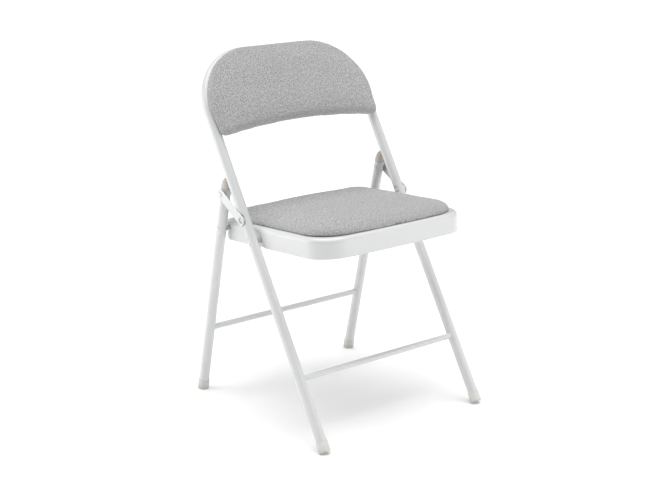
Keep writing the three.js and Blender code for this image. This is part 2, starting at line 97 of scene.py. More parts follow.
# %% Camera
CAMERA_PLACE = (-1.7598, -2.2238, 1.1788)
CAMERA_DOWN = math.radians(16.06)
CAMERA_TURN = math.radians(38.33)
camera = bpy.data.objects.new("camera", bpy.data.cameras.new("camera"))
camera.data.sensor_width = 36
camera.data.lens = 72.56
camera.location = CAMERA_PLACE
camera.rotation_euler = (math.pi / 2 - CAMERA_DOWN, 0, -CAMERA_TURN)
bpy.context.collection.objects.link(camera)
bpy.context.scene.camera = camera

# %% [markdown]
# Shader and geometry trees are long to build node by node. Two small classes let them be written as
# sums: Term wraps an output socket and adds a Math node for each operator, and Graph.node makes any other
# node from its type, its settings and its inputs.


# %% Trees written as expressions
class Term:
    """An output socket that can be used in arithmetic."""

    def __init__(self, graph, socket):
        self.graph = graph
        self.socket = socket

    def math(self, operation, *values):
        return self.graph.math(operation, self, *values)

    def __add__(self, other):
        return self.math("ADD", other)

    def __sub__(self, other):
        return self.math("SUBTRACT", other)

    def __rsub__(self, other):
        return self.graph.math("SUBTRACT", other, self)

    def __mul__(self, other):
        return self.math("MULTIPLY", other)

    def __truediv__(self, other):
        return self.math("DIVIDE", other)

    __radd__ = __add__
    __rmul__ = __mul__


class Graph:
    """A node tree, with one way to add a node."""

    def __init__(self, tree):
        self.tree = tree

    def node(self, kind, settings=None, sockets=None, out=None):
        made = self.tree.nodes.new(kind)
        for key, value in (settings or {}).items():
            if key == "stops":
                ramp = made.color_ramp.elements
                while len(ramp) < len(value):
                    ramp.new(0.5)
                for stop, (place, colour) in zip(ramp, value):
                    stop.position = place
                    stop.color = colour
            else:
                setattr(made, key, value)
        for key, value in (sockets or {}).items():
            if isinstance(key, int):
                socket = made.inputs[key]
            else:
                socket = next(s for s in made.inputs if s.name == key and s.enabled)
            for one in value if isinstance(value, list) else [value]:
                if isinstance(one, Term):
                    self.tree.links.new(one.socket, socket)
                else:
                    socket.default_value = one
        if not made.outputs:
            return None
        if out is None:
            return Term(self, next(s for s in made.outputs if s.enabled))
        return Term(self, next(s for s in made.outputs if s.name == out and s.enabled))

    def math(self, operation, *values):
        return self.node("ShaderNodeMath", {"operation": operation}, dict(enumerate(values)))

    def vector(self, operation, *values):
        return self.node("ShaderNodeVectorMath", {"operation": operation}, dict(enumerate(values)))

    def split(self, vector):
        return [self.node("ShaderNodeSeparateXYZ", {}, {0: vector}, axis) for axis in "XYZ"]

    def mix(self, amount, first, second):
        """Colour first where amount is 0 and second where it is 1."""
        return self.node(
            "ShaderNodeMix", {"data_type": "RGBA"}, {"Factor": amount, "A": first, "B": second}, "Result"
        )

    def noise(self, where, scale, detail=2.0, rough=0.5):
        return self.node(
            "ShaderNodeTexNoise", {}, {"Vector": where, "Scale": scale, "Detail": detail, "Roughness": rough}
        )


def new_finish(name):
    """A material whose tree is empty but for the place on the piece that patterns read."""
    made = bpy.data.materials.new(name)
    made.use_nodes = True
    made.node_tree.nodes.clear()
    graph = Graph(made.node_tree)
    place = graph.node("ShaderNodeTexCoord", {}, {}, "Object")
    return made, graph, place


def surface(graph, sockets, height=None, depth=0.0):
    """Ends a material: one Principled shader, with a bump of that depth in metres."""
    if height is not None:
        bump = {"Height": height, "Distance": depth, "Strength": 1.0}
        sockets = {**sockets, "Normal": graph.node("ShaderNodeBump", {}, bump)}
    shader = graph.node("ShaderNodeBsdfPrincipled", {}, sockets)
    graph.node("ShaderNodeOutputMaterial", {}, {"Surface": shader})


def grey(value):
    return (value, value, value, 1.0)


# %% [markdown]
# The steel is powder coated. Powder melts into a skin that is glossy but never quite flat: it has a
# faint orange-peel ripple a few millimetres across. A hand's traffic leaves it a little duller here and
# there, and near the floor it picks up a trace of dust.

# %% Powder coat
PEEL_DEPTH = 0.01 * MM
powder_coat, g, at = new_finish("powder_coat")
peel = g.noise(at, 400.0, 1.0)
handling = g.noise(at, 9.0, 3.0, 0.6)
height_up = g.split(at)[2]
dust = g.math("MAXIMUM", 1.0 - height_up * 9.0, 0.0) * g.noise(at, 55.0, 3.0) * 0.35
paint = g.mix(handling, (0.68, 0.69, 0.69, 1), (0.71, 0.715, 0.71, 1))
paint = g.mix(dust, paint, (0.62, 0.61, 0.58, 1))
surface(
    g,
    {"Base Color": paint, "Roughness": 0.28 + handling * 0.04 + dust * 0.4, "Coat Weight": 0.35,
     "Coat Roughness": 0.12, "IOR": 1.5},
    peel,
    PEEL_DEPTH,
)

# %% [markdown]
# Screws are zinc plated. Their heads show a fine turned grain and small darker specks where the driver
# has rubbed. The caps and bushes are moulded plastic: satin, with the fine spark-eroded grain of a mould.

# %% Zinc and moulded plastics
GRAIN_DEPTH = 0.02 * MM
SPARK_DEPTH = 0.04 * MM
zinc_plate, g, at = new_finish("zinc_plate")
grain = g.noise(g.vector("MULTIPLY", at, (900.0, 900.0, 90.0)), 1.0, 2.0)
wear = g.noise(at, 700.0, 3.0, 0.7)
surface(
    g,
    {"Base Color": g.mix(wear, (0.55, 0.56, 0.57, 1), (0.78, 0.78, 0.77, 1)), "Metallic": 1.0,
     "Roughness": 0.28 + wear * 0.25},
    grain,
    GRAIN_DEPTH,
)


def moulded(name, dark, light, roughness):
    made, g, at = new_finish(name)
    cloudy = g.noise(at, 60.0, 4.0, 0.6)
    spark = g.noise(at, 1800.0, 2.0)
    floor_dirt = g.math("MAXIMUM", 1.0 - g.split(at)[2] * 70.0, 0.0) * 0.4
    colour = g.mix(floor_dirt, g.mix(cloudy, dark, light), (0.3, 0.28, 0.25, 1))
    surface(g, {"Base Color": colour, "Roughness": roughness + cloudy * 0.1}, spark, SPARK_DEPTH)
    return made


foot_plastic = moulded("foot_plastic", (0.62, 0.61, 0.59, 1), (0.7, 0.695, 0.67, 1), 0.42)
cap_plastic = moulded("cap_plastic", (0.54, 0.48, 0.44, 1), (0.62, 0.56, 0.52, 1), 0.45)
bush_plastic = moulded("bush_plastic", (0.58, 0.58, 0.57, 1), (0.66, 0.66, 0.65, 1), 0.4)

# %% [markdown]
# The boards are plywood. They are hidden, but a part can be looked at from any side, so they have the
# long figure of a rotary-cut veneer.

# %% Plywood
PORE_DEPTH = 0.1 * MM
plywood, g, at = new_finish("plywood")
figure = g.noise(g.vector("MULTIPLY", at, (6.0, 60.0, 60.0)), 1.0, 5.0, 0.65)
pores = g.noise(g.vector("MULTIPLY", at, (60.0, 1500.0, 1500.0)), 1.0, 2.0)
timber = g.mix(figure, (0.42, 0.27, 0.14, 1), (0.66, 0.49, 0.3, 1))
surface(g, {"Base Color": timber, "Roughness": 0.65 + pores * 0.2}, pores, PORE_DEPTH)

# %% [markdown]
# The cloth is a melange: each yarn is spun from light and dark fibres, so its colour drifts along its
# length, and the two sets of yarns cross over and under. The pattern has to lie in the cloth, which is
# pulled over the edges of the pad, so the pads carry an attribute called "cloth" with the place in the
# flat cloth of every point. The yarns are drawn in that attribute and not in space.

# %% Melange cloth
YARN = 1.25 * MM
BACKING_YARN = 0.8 * MM
WEAVE_DEPTH = 0.35 * MM
LINE_APART = 7.31  # how far the noise of one yarn lies from that of the next, in noise cells
WEFT_APART = 311.0
RUN = 1.6  # crossings over which a yarn's shade drifts


def woven(name, dark, light, yarn):
    """Plain weave of two sets of yarns, each yarn with its own drift between a dark and a light shade."""
    made, g, _ = new_finish(name)
    lay = g.node("ShaderNodeAttribute", {"attribute_name": "cloth"}, {}, "Vector")
    across, along, _ = g.split(lay)
    u = across / yarn
    v = along / yarn
    column = g.math("FLOOR", u)
    row = g.math("FLOOR", v)
    over = g.math("FLOORED_MODULO", column + row, 2.0)
    round_u = g.math("SINE", (u - column) * math.pi)
    round_v = g.math("SINE", (v - row) * math.pi)
    warp = round_u * (0.55 + 0.45 * round_v)
    weft = round_v * (0.55 + 0.45 * round_u)
    height = over * warp + (1.0 - over) * weft

    def shade(line, run):
        cell = g.node("ShaderNodeCombineXYZ", {}, {0: line * LINE_APART, 1: run / RUN, 2: 0.0})
        return g.noise(cell, 1.0, 2.0, 0.7)

    yarns = over * shade(column, v) + (1.0 - over) * shade(row + WEFT_APART, u)
    flecks = g.noise(lay, 560.0, 2.0, 0.8)
    patches = g.noise(lay, 190.0, 2.0, 0.6)
    tone = yarns * 0.9 + flecks * 1.2 + patches * 0.25 - 0.675
    spread = g.node("ShaderNodeValToRGB", {"stops": [(0.33, dark), (0.7, light)]}, {"Fac": tone}, "Color")
    # Painted shade: the low places of the weave, where one yarn dips under the other, are darkened a little
    # in the colour.
    shadow = g.mix(1.0 - height, spread, grey(0.1))
    colour = g.mix(0.16, spread, shadow)
    surface(
        g,
        {"Base Color": colour, "Roughness": 0.88 + 0.1 * flecks, "Sheen Weight": 0.08, "Sheen Roughness": 0.5,
         "Specular IOR Level": 0.2},
        height + flecks * 0.5,
        WEAVE_DEPTH,
    )
    return made


melange = woven("melange_cloth", grey(0.2), grey(0.82), YARN)
backing = woven("backing_cloth", grey(0.05), grey(0.12), BACKING_YARN)

# %% [markdown]
# Round stock, lathed pieces and the pressed pan are all skins: a row of rings, each with the same number
# of points, joined into a closed surface. One function joins the rings, and one turns a profile.


# %% Rings to meshes
def new_piece(name, points, faces, matrix, finish, crease=40):
    """A mesh object at the origin with its place in its mesh, smooth except where it turns sharply."""
    mesh = bpy.data.meshes.new(name)
    mesh.from_pydata(np.asarray(points).tolist(), [], faces)
    mesh.transform(matrix)
    made = bpy.data.objects.new(name, mesh)
    bpy.context.collection.objects.link(made)
    mesh.materials.append(finish)
    settle(made, crease)
    return made


def settle(made, crease=40):
    """Merges doubles, turns every face outwards and sets which edges stay sharp."""
    work = bmesh.new()
    work.from_mesh(made.data)
    bmesh.ops.remove_doubles(work, verts=work.verts, dist=1e-6)
    bmesh.ops.recalc_face_normals(work, faces=work.faces)
    work.to_mesh(made.data)
    work.free()
    made.data.shade_smooth()
    made.data.set_sharp_from_angle(angle=math.radians(crease))


def skin(rings, closed=False):
    """Points and faces through a row of rings. closed also joins the last ring to the first."""
    rings = np.asarray(rings)
    count, size = rings.shape[:2]
    faces = []
    for i in range(count if closed else count - 1):
        here, there = i * size, (i + 1) % count * size
        for j in range(size):
            k = (j + 1) % size
            faces.append((here + j, here + k, there + k, there + j))
    if not closed:
        faces.append(tuple(range(size)))
        faces.append(tuple(range((count - 1) * size, count * size)))
    return rings.reshape(-1, 3), faces


def circle(sides):
    turn = np.linspace(0, 2 * np.pi, sides, endpoint=False)
    return np.cos(turn), np.sin(turn)


def turned_rings(profile, sides=48):
    """Rings about the z axis through [radius, z] pairs, in millimetres."""
    cosine, sine = circle(sides)
    return np.array([
        np.stack([radius * cosine, radius * sine, np.full(sides, z)], axis=1) * MM for radius, z in profile
    ])


def eased(value):
    """0 below 0 and 1 above 1, with a smooth rise between."""
    t = np.clip(value, 0, 1)
    return t * t * (3 - 2 * t)


# %% [markdown]
# Both pairs of legs are 22 mm tube with a thin wall. Where a rivet goes through, the tube is pressed in
# so that the head sits below its skin, and the dent fades into the round over a few millimetres. The
# rings are close together there and far apart on the straights.

# %% Tubes
TUBE_WALL = 1.2 * MM
TUBE_SIDES = 56


def stations(start, end, pivots, spacing=45 * MM):
    """Places for rings along a straight, close together near each pivot."""
    coarse = np.linspace(start, end, max(2, int((end - start) / spacing) + 1))
    fine = [np.arange(p - 17 * MM, p + 17.1 * MM, 1.4 * MM) for p in pivots]
    clear = [s for s in coarse if all(abs(s - p) > 19 * MM for p in pivots)]
    every = np.concatenate([clear, *fine])
    return np.unique(every[(every >= start) & (every <= end)])


def pressed(points, dents, wall):
    """Presses dents into rings. A dent is (side, outwards, z, floor, flat radius, full radius)."""
    for side, outward, z, floor, flat, full in dents:
        reach = np.hypot(points[..., 1], points[..., 2] - z)
        share = 1 - eased((reach - flat) / (full - flat))
        distance = (points[..., 0] - side * HALF_TRACK) * side * outward
        near = points[..., 0] * side > 0
        level = floor - wall
        moved = np.where((distance > level) & near, distance + (level - distance) * share, distance)
        points[..., 0] = side * HALF_TRACK + moved * side * outward
    return points


def tube_rings(centres, radius, dents=()):
    """Rings round a centre line that lies in the x-z plane, then back along the inside of the wall."""
    centres = np.asarray(centres)
    along = np.gradient(centres, axis=0)
    along /= np.linalg.norm(along, axis=1)[:, None]
    out = np.stack([along[:, 2], np.zeros(len(centres)), -along[:, 0]], axis=1)
    cosine, sine = circle(TUBE_SIDES)
    round_it = [out[:, None] * cosine[None, :, None] * r + np.array([0, 1, 0]) * sine[None, :, None] * r
                for r in (radius, radius - TUBE_WALL)]
    outer, inner = (pressed(centres[:, None] + r, dents, wall) for r, wall in zip(round_it, (0, TUBE_WALL)))
    return np.concatenate([outer, inner[::-1]])


LINK_DENT = (7.0 * MM, 9.7 * MM, 13 * MM)  # floor from the axis, flat radius, full radius
RIVET_DENT = (8.3 * MM, 6.4 * MM, 10 * MM)


def dents_at(z, outer, inner):
    return [(side, way, z, *dent) for side in SIDES.values() for way, dent in ((1, outer), (-1, inner))]


ARCH_TOP = 881 * MM
ARCH_R = 135 * MM
TUBE_START = 1.6 * MM
bend_start = ARCH_TOP - ARCH_R
leg_z = stations(TUBE_START, bend_start, [SEAT_PIVOT, LINK_PIVOT])
bend = np.linspace(0, np.pi / 2, 30)[1:]
top_x = HALF_TRACK - ARCH_R
half_line = [(HALF_TRACK, 0, z) for z in leg_z]
half_line += [(top_x + ARCH_R * math.cos(a), 0, bend_start + ARCH_R * math.sin(a)) for a in bend]
half_line += [(x, 0, ARCH_TOP) for x in np.linspace(top_x, 0, 4)[1:]]
centre_line = half_line + [(-x, y, z) for x, y, z in half_line[-2::-1]]
front_dents = dents_at(LINK_PIVOT, LINK_DENT, RIVET_DENT) + dents_at(SEAT_PIVOT, RIVET_DENT, RIVET_DENT)
arch_tube = new_piece(
    "arch_tube", *skin(tube_rings(centre_line, TUBE_R, front_dents), closed=True), FRONT, powder_coat
)
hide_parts("front_tube")
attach(arch_tube, "front_frame")
print("arch tube", len(arch_tube.data.polygons), "faces")

REAR_TUBE_END = 502 * MM
rear_z = stations(TUBE_START, REAR_TUBE_END, [REAR_SEAT_PIVOT, REAR_LINK_PIVOT])
rear_dents = dents_at(REAR_SEAT_PIVOT, RIVET_DENT, RIVET_DENT)
for name, side in SIDES.items():
    leg_rings = tube_rings([(side * HALF_TRACK, 0, z) for z in rear_z], TUBE_R, rear_dents)
    leg = new_piece(f"leg_tube_{name}", *skin(leg_rings, closed=True), REAR, powder_coat)
    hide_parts(f"rear_leg_{name}")
    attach(leg, "rear_legs")

# %% [markdown]
# The two rungs are thinner tube, cut to a saddle at each end so that they fit round the legs. The saddle
# comes from the two radii: at each point round the rung, it stops where it meets the leg.

# %% Rungs
RUNG_R = 6.35 * MM
RUNG_WALL = 1 * MM
RUNG_SIDES = 40
SADDLE_GAP = 0.1 * MM


def rung(name, matrix, z, body, node):
    cosine, sine = circle(RUNG_SIDES)
    rings = []
    for radius in (RUNG_R, RUNG_R - RUNG_WALL):
        reach = HALF_TRACK - np.sqrt((TUBE_R + SADDLE_GAP) ** 2 - (radius * cosine) ** 2)
        flat = [radius * cosine, z + radius * sine]
        walls = [np.stack([reach * t, *flat], axis=1) for t in np.linspace(-1, 1, 9)]
        rings += walls if radius == RUNG_R else walls[::-1]
    made = new_piece(name, *skin(rings, closed=True), matrix, powder_coat)
    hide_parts(node)
    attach(made, body)


FRONT_RUNG_Z = 154 * MM
REAR_RUNG_Z = 157 * MM
rung("front_rung", FRONT, FRONT_RUNG_Z, "front_frame", "front_crossbar")
rung("rear_rung", REAR, REAR_RUNG_Z, "rear_legs", "rear_crossbar")

# %% [markdown]
# Things that repeat are drawn once in a geometry tree and set out on points. Each point carries the
# direction that its copy faces. A tree has named inputs for its sizes, and ends by making the copies real
# and giving them their finish, so that the result is a plain mesh.


# %% Setting out copies on points
def new_tree(name, sizes):
    """A geometry tree with these inputs, the points it works on, and the terms that stand for the inputs."""
    tree = bpy.data.node_groups.new(name, "GeometryNodeTree")
    tree.interface.new_socket("Geometry", in_out="INPUT", socket_type="NodeSocketGeometry")
    for label in sizes:
        kind = "NodeSocketMaterial" if label == "Finish" else "NodeSocketFloat"
        tree.interface.new_socket(label, in_out="INPUT", socket_type=kind)
    tree.interface.new_socket("Geometry", in_out="OUTPUT", socket_type="NodeSocketGeometry")
    graph = Graph(tree)
    entry = tree.nodes.new("NodeGroupInput")
    return tree, graph, {s.name: Term(graph, s) for s in entry.outputs if s.name}


def set_out(graph, points, copy, finish):
    """Puts a copy on every point, its z axis along the point's "out", and ends the tree."""
    kind = {"data_type": "FLOAT_VECTOR"}
    out = graph.node("GeometryNodeInputNamedAttribute", kind, {"Name": "out"}, "Attribute")
    turn = graph.node("FunctionNodeAlignRotationToVector", {"axis": "Z"}, {"Vector": out})
    setting = {"Points": points, "Instance": copy, "Rotation": turn}
    placed = graph.node("GeometryNodeInstanceOnPoints", {}, setting)
    real = graph.node("GeometryNodeRealizeInstances", {}, {"Geometry": placed})
    smooth = graph.node("GeometryNodeSetShadeSmooth", {}, {"Geometry": real})
    dressed = graph.node("GeometryNodeSetMaterial", {}, {"Geometry": smooth, "Material": finish})
    graph.node("NodeGroupOutput", {}, {"Geometry": dressed})


def copies(name, tree, spots, matrix, sizes, body, nodes=(), crease=35):
    """Runs a tree on spots, which are (place, way out) in a part's own axes, and keeps the plain mesh."""
    mesh = bpy.data.meshes.new(name)
    turn = matrix.to_3x3()
    mesh.from_pydata([matrix @ Vector(place) for place, _ in spots], [], [])
    outward = mesh.attributes.new("out", "FLOAT_VECTOR", "POINT")
    outward.data.foreach_set("vector", [v for _, out in spots for v in turn @ Vector(out)])
    source = bpy.data.objects.new(name + "_spots", mesh)
    bpy.context.collection.objects.link(source)
    modifier = source.modifiers.new("copies", "NODES")
    modifier.node_group = tree
    known = {s.name: s.identifier for s in tree.interface.items_tree if s.in_out == "INPUT"}
    for label, value in sizes.items():
        modifier[known[label]] = value
    bpy.context.view_layer.update()
    graph = bpy.context.evaluated_depsgraph_get()
    plain = bpy.data.meshes.new_from_object(source.evaluated_get(graph))
    bpy.data.objects.remove(source)
    made = bpy.data.objects.new(name, plain)
    bpy.context.collection.objects.link(made)
    made.data.set_sharp_from_angle(angle=math.radians(crease))
    if nodes:
        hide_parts(*nodes)
    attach(made, body)
    print(name, len(spots), "copies,", len(plain.polygons), "faces")


# %% Domes, the heads of the rivets
def dome(graph, radius, height, segments=28):
    """A flattened half sphere standing on z = 0."""
    ball = graph.node("GeometryNodeMeshUVSphere", {}, {"Segments": segments, "Rings": 16, "Radius": 1.0})
    scale = graph.node("ShaderNodeCombineXYZ", {}, {0: radius, 1: radius, 2: height})
    squashed = graph.node("GeometryNodeTransform", {}, {"Geometry": ball, "Scale": scale})
    x, y, z = graph.split(graph.node("GeometryNodeInputPosition"))
    level = graph.node("ShaderNodeCombineXYZ", {}, {0: x, 1: y, 2: graph.math("MAXIMUM", z, height * -0.15)})
    return graph.node("GeometryNodeSetPosition", {}, {"Geometry": squashed, "Position": level})


def bar(graph, radius, top, bottom, sides=24):
    """A round bar on the z axis between two heights."""
    solid = {"Vertices": sides, "Radius": radius, "Depth": graph.math("SUBTRACT", top, bottom)}
    shaft = graph.node("GeometryNodeMeshCylinder", {}, solid)
    lift = graph.node("ShaderNodeCombineXYZ", {}, {2: (top + bottom) * 0.5})
    return graph.node("GeometryNodeTransform", {}, {"Geometry": shaft, "Translation": lift})


rivet_tree, g, size = new_tree(
    "rivet", ["Head Radius", "Head Height", "Head Level", "Shank Radius", "Tail Radius", "Tail Height",
              "Tail Level", "Finish"]
)
head = g.node("GeometryNodeTransform", {}, {
    "Geometry": dome(g, size["Head Radius"], size["Head Height"]),
    "Translation": g.node("ShaderNodeCombineXYZ", {}, {2: size["Head Level"]}),
})
tail = g.node("GeometryNodeTransform", {}, {
    "Geometry": dome(g, size["Tail Radius"], size["Tail Height"]),
    "Translation": g.node("ShaderNodeCombineXYZ", {}, {2: size["Tail Level"]}),
    "Rotation": (math.pi, 0, 0),
})
shank = bar(g, size["Shank Radius"], size["Head Level"], size["Tail Level"])
whole = g.node("GeometryNodeJoinGeometry", {}, {"Geometry": [head, shank, tail]})
set_out(g, size["Geometry"], whole, size["Finish"])

# %% [markdown]
# Rivets hold the linkage together. Their levels are distances outwards from the axis of the tube that
# they go through. The linkage is opened at the pivot between strap and rear leg, so that one is made in
# two halves: a stub that stays in the leg, with a head on its inner side, and a button on the strap.

# %% Rivets
PAN_HALF_WIDTH = 199 * MM
POCKET_DEPTH = 4 * MM
PAN_STEEL = 1.5 * MM
PAN_GAP = 0.2 * MM
THIN = 0.3 * MM
pan_inside = PAN_HALF_WIDTH - POCKET_DEPTH - PAN_STEEL - PAN_GAP - HALF_TRACK


def rivet_sizes(head_level, tail_level, head=5.6, tail=4.9):
    """A painted rivet with these two levels. The radii of its head and tail are in millimetres."""
    return {
        "Head Radius": head * MM, "Head Height": 2.0 * MM, "Head Level": head_level, "Shank Radius": 3 * MM,
        "Tail Radius": tail * MM, "Tail Height": 1.7 * MM, "Tail Level": tail_level, "Finish": powder_coat,
    }


def both_sides(z):
    return [((side * HALF_TRACK, 0, z), (side, 0, 0)) for side in SIDES.values()]


def both(*stems):
    return [f"{stem}_{side}" for stem in stems for side in SIDES]


copies("strap_rivets", rivet_tree, both_sides(LINK_PIVOT), FRONT, rivet_sizes(9.6 * MM, -8.4 * MM),
       "front_frame", both("link_rivet"))
copies("seat_rivets", rivet_tree, both_sides(SEAT_PIVOT), FRONT, rivet_sizes(8.4 * MM, pan_inside),
       "front_frame", both("seat_rivet"))
copies("leg_rivets", rivet_tree, both_sides(REAR_SEAT_PIVOT), REAR, rivet_sizes(8.4 * MM, pan_inside),
       "rear_legs", both("leg_rivet"))
copies("strap_stubs", rivet_tree, both_sides(REAR_LINK_PIVOT), REAR,
       {**rivet_sizes(10.4 * MM, -11.2 * MM), "Head Radius": 3 * MM, "Head Height": THIN},
       "rear_legs", both("link_stub"))
inner_heads = [((side * HALF_TRACK, 0, REAR_LINK_PIVOT), (-side, 0, 0)) for side in SIDES.values()]
copies("stub_heads", rivet_tree, inner_heads, REAR,
       {**rivet_sizes(TUBE_R * 0.97, 8.0 * MM, 4.6), "Tail Height": THIN}, "rear_legs")
for name, side in SIDES.items():
    spot = [((side * HALF_TRACK, STRAP_LENGTH, 0), (side, 0, 0))]
    button = {**rivet_sizes(13.6 * MM, 11.8 * MM, 5.6, 3.0), "Tail Height": THIN}
    copies(f"strap_button_{name}", rivet_tree, spot, LINK, button, f"link_{name}",
           [f"link_button_{name}"])

# %% [markdown]
# A bead of weld runs round each end of both rungs, where they meet the tubes. It is a ring on the rung's
# axis, bent so that it lies on the round of the tube.

# %% Weld beads
LUMP = 0.8 * MM
BEAD_R = 1.3 * MM
weld_tree, g, size = new_tree("weld_bead", ["Rung Radius", "Tube Radius", "Bead Radius", "Lean", "Finish"])
line, bead = (
    g.node("GeometryNodeCurvePrimitiveCircle", {}, {"Resolution": points, "Radius": radius}, "Curve")
    for points, radius in ((40, size["Rung Radius"]), (10, size["Bead Radius"]))
)
ring = g.node("GeometryNodeCurveToMesh", {}, {"Curve": line, "Profile Curve": bead})
spot = g.node("GeometryNodeInputPosition")
x, y, z = g.split(spot)
far = y * g.math("COSINE", size["Lean"]) + x * g.math("SINE", size["Lean"])
sink = size["Tube Radius"] - g.math("SQRT", size["Tube Radius"] * size["Tube Radius"] - far * far)
lumps = (g.noise(spot, 300.0, 2.0, 0.5) - 0.5) * LUMP
bent = g.node("ShaderNodeCombineXYZ", {}, {0: x, 1: y, 2: z + sink + lumps})
laid = g.node("GeometryNodeSetPosition", {}, {"Geometry": ring, "Position": bent})
set_out(g, size["Geometry"], laid, size["Finish"])
bead_sizes = {"Rung Radius": RUNG_R, "Tube Radius": TUBE_R, "Bead Radius": BEAD_R, "Finish": powder_coat}
for which, matrix, z, body in (
    ("front", FRONT, FRONT_RUNG_Z, "front_frame"), ("rear", REAR, REAR_RUNG_Z, "rear_legs")
):
    lean = matrix.to_euler().x
    for name, side in SIDES.items():
        end = [((side * (HALF_TRACK - TUBE_R), 0, z), (side, 0, 0))]
        sizes = {**bead_sizes, "Lean": -side * lean}
        copies(f"{which}_weld_{name}", weld_tree, end, matrix, sizes, body)

# %% [markdown]
# Each strap is stamped from 2 mm steel. Round its front pivot the steel is drawn into a dish, so that its
# floor reaches into the dent in the tube and the rivet stays flush. The skin runs from the hole outwards
# over the dish, becomes the strap's long outline, turns over the edge and comes back underneath.

# %% Straps
STRAP_R = 11 * MM
STRAP_POINTS = 96


def strap_outline(inset):
    """The strap's rounded outline, set in by a distance, starting from the middle of its near end."""
    radius = STRAP_R - inset
    near = np.linspace(np.pi, 1.5 * np.pi, STRAP_POINTS // 4, endpoint=False)
    points = [(radius * math.cos(a), radius * math.sin(a)) for a in near]
    length = 2 * STRAP_LENGTH + math.pi * radius
    for step in np.linspace(0, length, STRAP_POINTS // 2, endpoint=False):
        if step < STRAP_LENGTH:
            points.append((step, -radius))
        elif step < STRAP_LENGTH + math.pi * radius:
            a = (step - STRAP_LENGTH) / radius - math.pi / 2
            points.append((STRAP_LENGTH + radius * math.cos(a), radius * math.sin(a)))
        else:
            points.append((length - step, radius))
    near = np.linspace(0.5 * np.pi, np.pi, STRAP_POINTS // 4, endpoint=False)
    points += [(radius * math.cos(a), radius * math.sin(a)) for a in near]
    return np.array(points)


def strap_circle(radius):
    """The same number of points on a circle round the near pivot, each facing its point on the outline."""
    turn = np.linspace(np.pi, 3 * np.pi, STRAP_POINTS, endpoint=False)
    return radius * np.stack([np.cos(turn), np.sin(turn)], axis=1)


INNER_FACE = 11.4  # these and the profiles below are in millimetres from the tube's axis
OUTER_FACE = 13.4
outer_dish = [(3.3, 9.1), (5.4, 9.1), (6.0, 9.35), (6.9, 13.0), (7.4, 13.35), (8.2, OUTER_FACE)]
inner_dish = [(9.6, INNER_FACE), (9.2, 11.2), (8.7, 10.6), (8.2, 7.8), (7.6, 7.3), (3.3, 7.3)]
edge = [
    (1.0, OUTER_FACE), (0.45, 13.3), (0.12, 13.0), (0.0, 12.4), (0.12, 11.8), (0.45, 11.5), (1.0, INNER_FACE),
]
for name, side in SIDES.items():
    levels = [(strap_circle(r * MM), x) for r, x in outer_dish]
    levels += [(strap_outline(inset * MM), x) for inset, x in edge]
    levels += [(strap_circle(r * MM), x) for r, x in inner_dish]
    rings = [
        np.stack([np.full(STRAP_POINTS, side * (HALF_TRACK + x * MM)), flat[:, 0], flat[:, 1]], axis=1)
        for flat, x in levels
    ]
    strap = new_piece(f"strap_{name}", *skin(rings, closed=True), LINK, powder_coat, 50)
    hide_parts(f"link_{name}")
    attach(strap, f"link_{name}")

# %% [markdown]
# The feet are moulded cups that push over the ends of the tubes. They have a rolled lip, a slight taper
# and a flat where they stand on the floor. The top caps are bullet-shaped plugs. They close the rear legs
# and also meet the front tube as bumpers.

# %% Feet and caps
foot_cup = [
    (0, -3), (9.0, -3), (10.8, -2.6), (11.9, -1.7), (12.3, -0.4), (12.35, 2), (12.3, 17.6), (12.05, 18.0),
    (12.05, 18.7), (12.4, 19.1), (12.4, 20.4), (12.1, 21.0), (11.15, 21.1), (11.15, 1.2), (0, 1.2),
]
dome_turns = np.linspace(0, np.pi / 2, 16)
bullet = [(0, 496), (9.5, 496), (9.5, 502.2), (10.5, 502.25), (10.95, 502.6), (11.1, 503.4), (11.05, 504.6)]
bullet += [(11.0 * math.cos(a), 506 + 20.5 * math.sin(a)) for a in dome_turns]


def floor_flat(made):
    """Flattens whatever is under the floor on to it."""
    for vertex in made.data.vertices:
        vertex.co.z = max(vertex.co.z, 0.0)


def lathe_piece(name, profile, side, matrix, finish, body, node):
    shift = matrix @ Matrix.Translation((side * HALF_TRACK, 0, 0))
    made = new_piece(name, *skin(turned_rings(profile)), shift, finish)
    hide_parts(node)
    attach(made, body)
    return made


for name, side in SIDES.items():
    for end, matrix, body in (("front", FRONT, "front_frame"), ("rear", REAR, "rear_legs")):
        foot = lathe_piece(f"{end}_foot_{name}", foot_cup, side, matrix, foot_plastic, body,
                           f"{end}_foot_cap_{name}")
        floor_flat(foot)
    lathe_piece(f"top_plug_{name}", bullet, side, REAR, cap_plastic, "rear_legs",
                f"rear_top_cap_{name}")

# %% [markdown]
# The seat pan is pressed from one sheet. From the middle of the plate the steel runs out flat, rolls over
# a round shoulder, goes straight down as a deep apron and ends in a plain edge. On each side two pockets
# are pressed in, slanted like the tubes that lie in them. So the pan is one skin again: its rings are
# the plan outline, first set further and further out, then dropped down the wall and brought back inside.

# %% Plan of the seat
PAN_FRONT = -224.5 * MM
PAN_REAR = 139 * MM
PAN_TOP = 28.5 * MM
PAN_BOTTOM = -14.2 * MM
FRONT_CORNER_R = 60 * MM
REAR_CORNER_R = 26 * MM
FRONT_BOW = 7.5 * MM
PLAN_STEP = 2.6 * MM


def resampled(points, step, count=None):
    """A closed line with evenly spaced points, either by their spacing or by their number."""
    loop = np.vstack([points, points[:1]])
    run = np.concatenate([[0], np.cumsum(np.linalg.norm(np.diff(loop, axis=0), axis=1))])
    count = count or int(round(run[-1] / step))
    place = np.linspace(0, run[-1], count, endpoint=False)
    return np.stack([np.interp(place, run, loop[:, k]) for k in range(2)], axis=1)


def outward_normals(points):
    """For a closed line that runs anticlockwise."""
    way = np.roll(points, -1, axis=0) - np.roll(points, 1, axis=0)
    normal = np.stack([way[:, 1], -way[:, 0]], axis=1)
    return normal / np.linalg.norm(normal, axis=1)[:, None]


